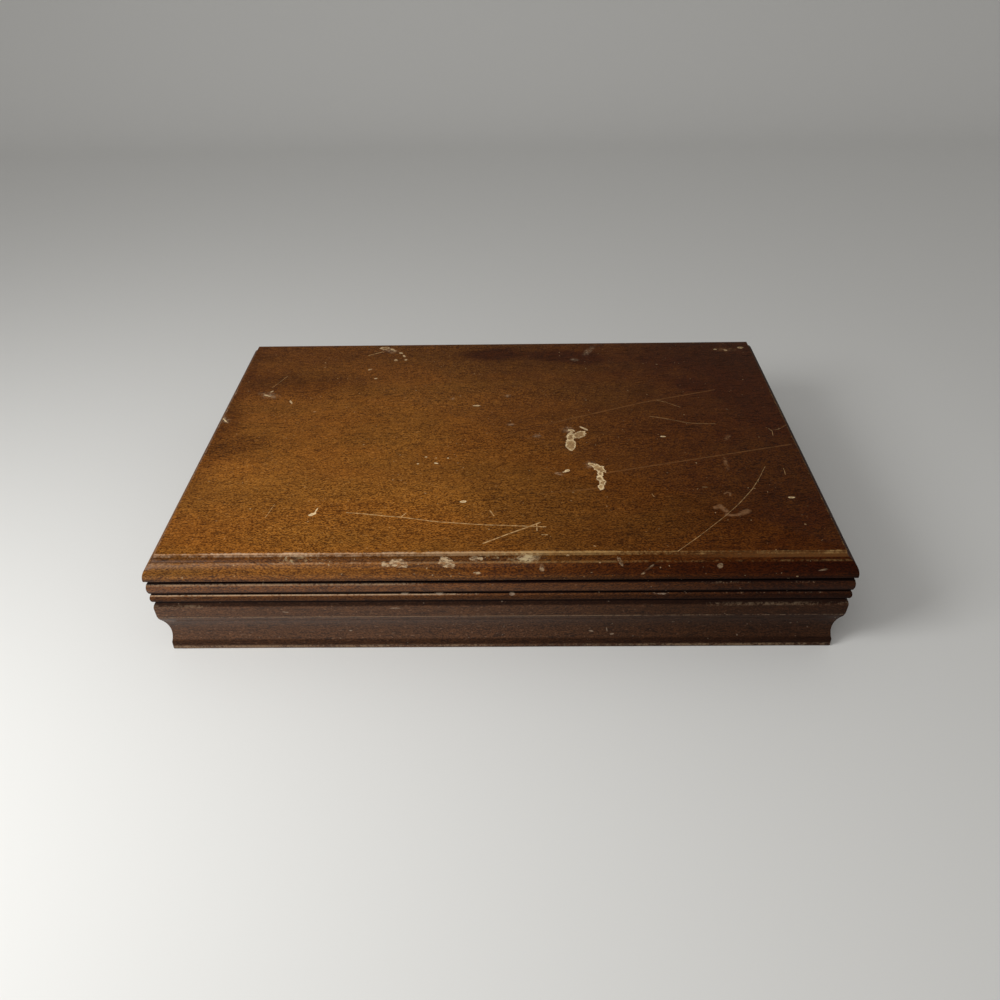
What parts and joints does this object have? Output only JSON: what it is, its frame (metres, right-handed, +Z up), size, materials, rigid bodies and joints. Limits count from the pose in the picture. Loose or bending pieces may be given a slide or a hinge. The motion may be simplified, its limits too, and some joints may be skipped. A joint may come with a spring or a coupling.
{
  "type": "silverware chest",
  "caption": "Shallow rectangular wooden chest for table silver with a moulded hinged lid, lined tray, racks in the base and knife racks in the lid.",
  "frame": {"origin": "middle of the underside of the closed chest, on the surface that it stands on", "axes": "+X to the right along the width, +Y from the front to the hinged back, +Z up"},
  "size_m": [0.394, 0.281, 0.0685],
  "materials": {
    "case_wood": "satin lacquered dark red-brown wood",
    "joinery_wood": "plain hardwood",
    "panel_wood": "plain plywood",
    "lining_cloth": "brushed brown tarnish-proof cloth on card",
    "rack_cloth": "brushed brown tarnish-proof cloth",
    "underside_felt": "dark green felt",
    "hinge_brass": "satin brass, slightly tarnished",
    "pin_brass": "drawn brass rod",
    "brad_steel": "bright steel"
  },
  "bodies": {
    "base": {"base_back_lining": "lining_cloth", "base_back_rail": "case_wood", "base_corner_splines": "joinery_wood", "base_felt": "underside_felt", "base_floor_lining": "lining_cloth", "base_front_lining": "lining_cloth", "base_front_rail": "case_wood", "base_hinge_screws": "hinge_brass", "base_left_lining": "lining_cloth", "base_left_rail": "case_wood", "base_right_lining": "lining_cloth", "base_right_rail": "case_wood", "bottom_panel": "panel_wood", "bottom_panel_brads": "brad_steel", "front_flatware_rack": "rack_cloth", "left_hinge_base_leaf": "hinge_brass", "left_hinge_pin": "pin_brass", "rear_flatware_rack": "rack_cloth", "right_hinge_base_leaf": "hinge_brass", "right_hinge_pin": "pin_brass"},
    "lid": {"knife_blade_rack": "rack_cloth", "knife_handle_rack": "rack_cloth", "left_hinge_lid_leaf": "hinge_brass", "lid_back_lining": "lining_cloth", "lid_back_rail": "case_wood", "lid_board": "case_wood", "lid_ceiling_lining": "lining_cloth", "lid_corner_splines": "joinery_wood", "lid_dowels": "joinery_wood", "lid_front_lining": "lining_cloth", "lid_front_rail": "case_wood", "lid_hinge_screws": "hinge_brass", "lid_left_lining": "lining_cloth", "lid_left_rail": "case_wood", "lid_right_lining": "lining_cloth", "lid_right_rail": "case_wood", "right_hinge_lid_leaf": "hinge_brass"}
  },
  "joints": [
    {"name": "lid_hinge", "type": "hinge", "parent": "base", "child": "lid", "pos_m": [0, 0.1385, 0.03885], "axis": [-1, 0, 0], "range_deg": [0, 100]}
  ]
}
